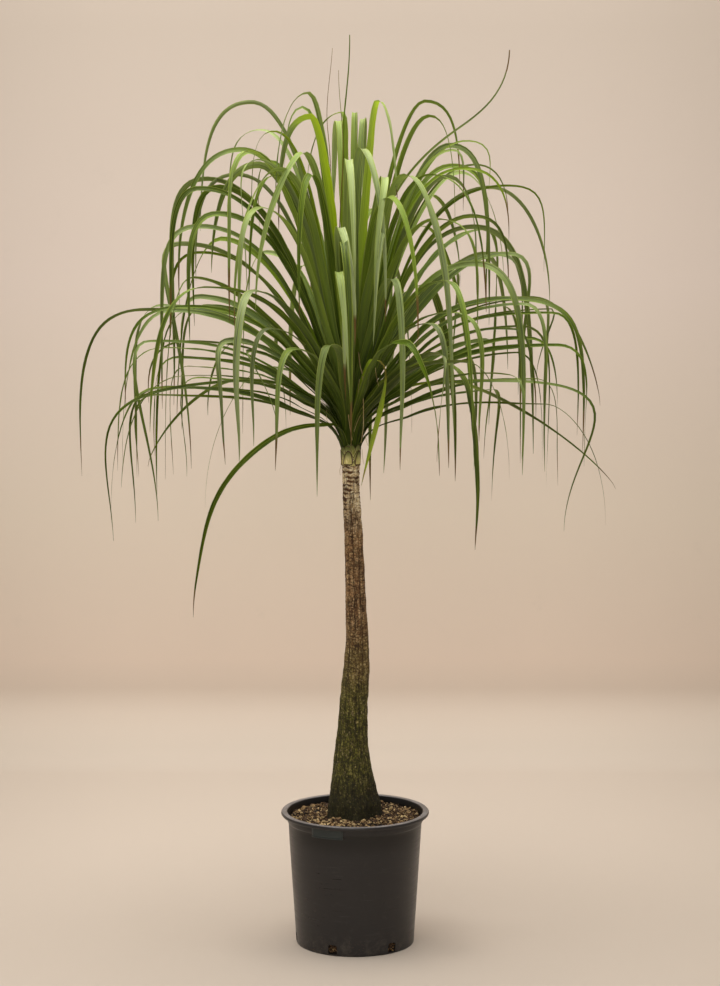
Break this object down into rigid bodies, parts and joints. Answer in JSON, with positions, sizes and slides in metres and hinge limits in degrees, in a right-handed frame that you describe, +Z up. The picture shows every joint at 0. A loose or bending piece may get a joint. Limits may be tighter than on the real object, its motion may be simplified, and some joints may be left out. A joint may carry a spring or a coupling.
{
  "type": "potted ponytail palm",
  "caption": "Potted ponytail palm: a slim ringed trunk on a swollen base in a nursery pot of bark mix, under a fountain of long arching strap leaves.",
  "frame": {"origin": "centre of the pot's flat underside", "axes": "+Z up along the trunk, -Y toward the viewer, +X to the viewer's right"},
  "size_m": [1.0842, 0.9006, 1.826],
  "materials": {
    "pot_plastic": "very dark grey moulded plastic, satin, faint scuffs round the wall",
    "bark_mix": "coarse tan and brown bark chips, dry and matte",
    "bark": "grey-brown ringed bark, cracked, mossy green-brown toward the base",
    "leaf": "mid green waxy strap leaves with fine parallel veins, paler where they bend to the light"
  },
  "bodies": {
    "root": {"pot": "pot_plastic", "soil": "bark_mix", "trunk": "bark", "leaf_crown": "leaf"}
  },
  "joints": []
}
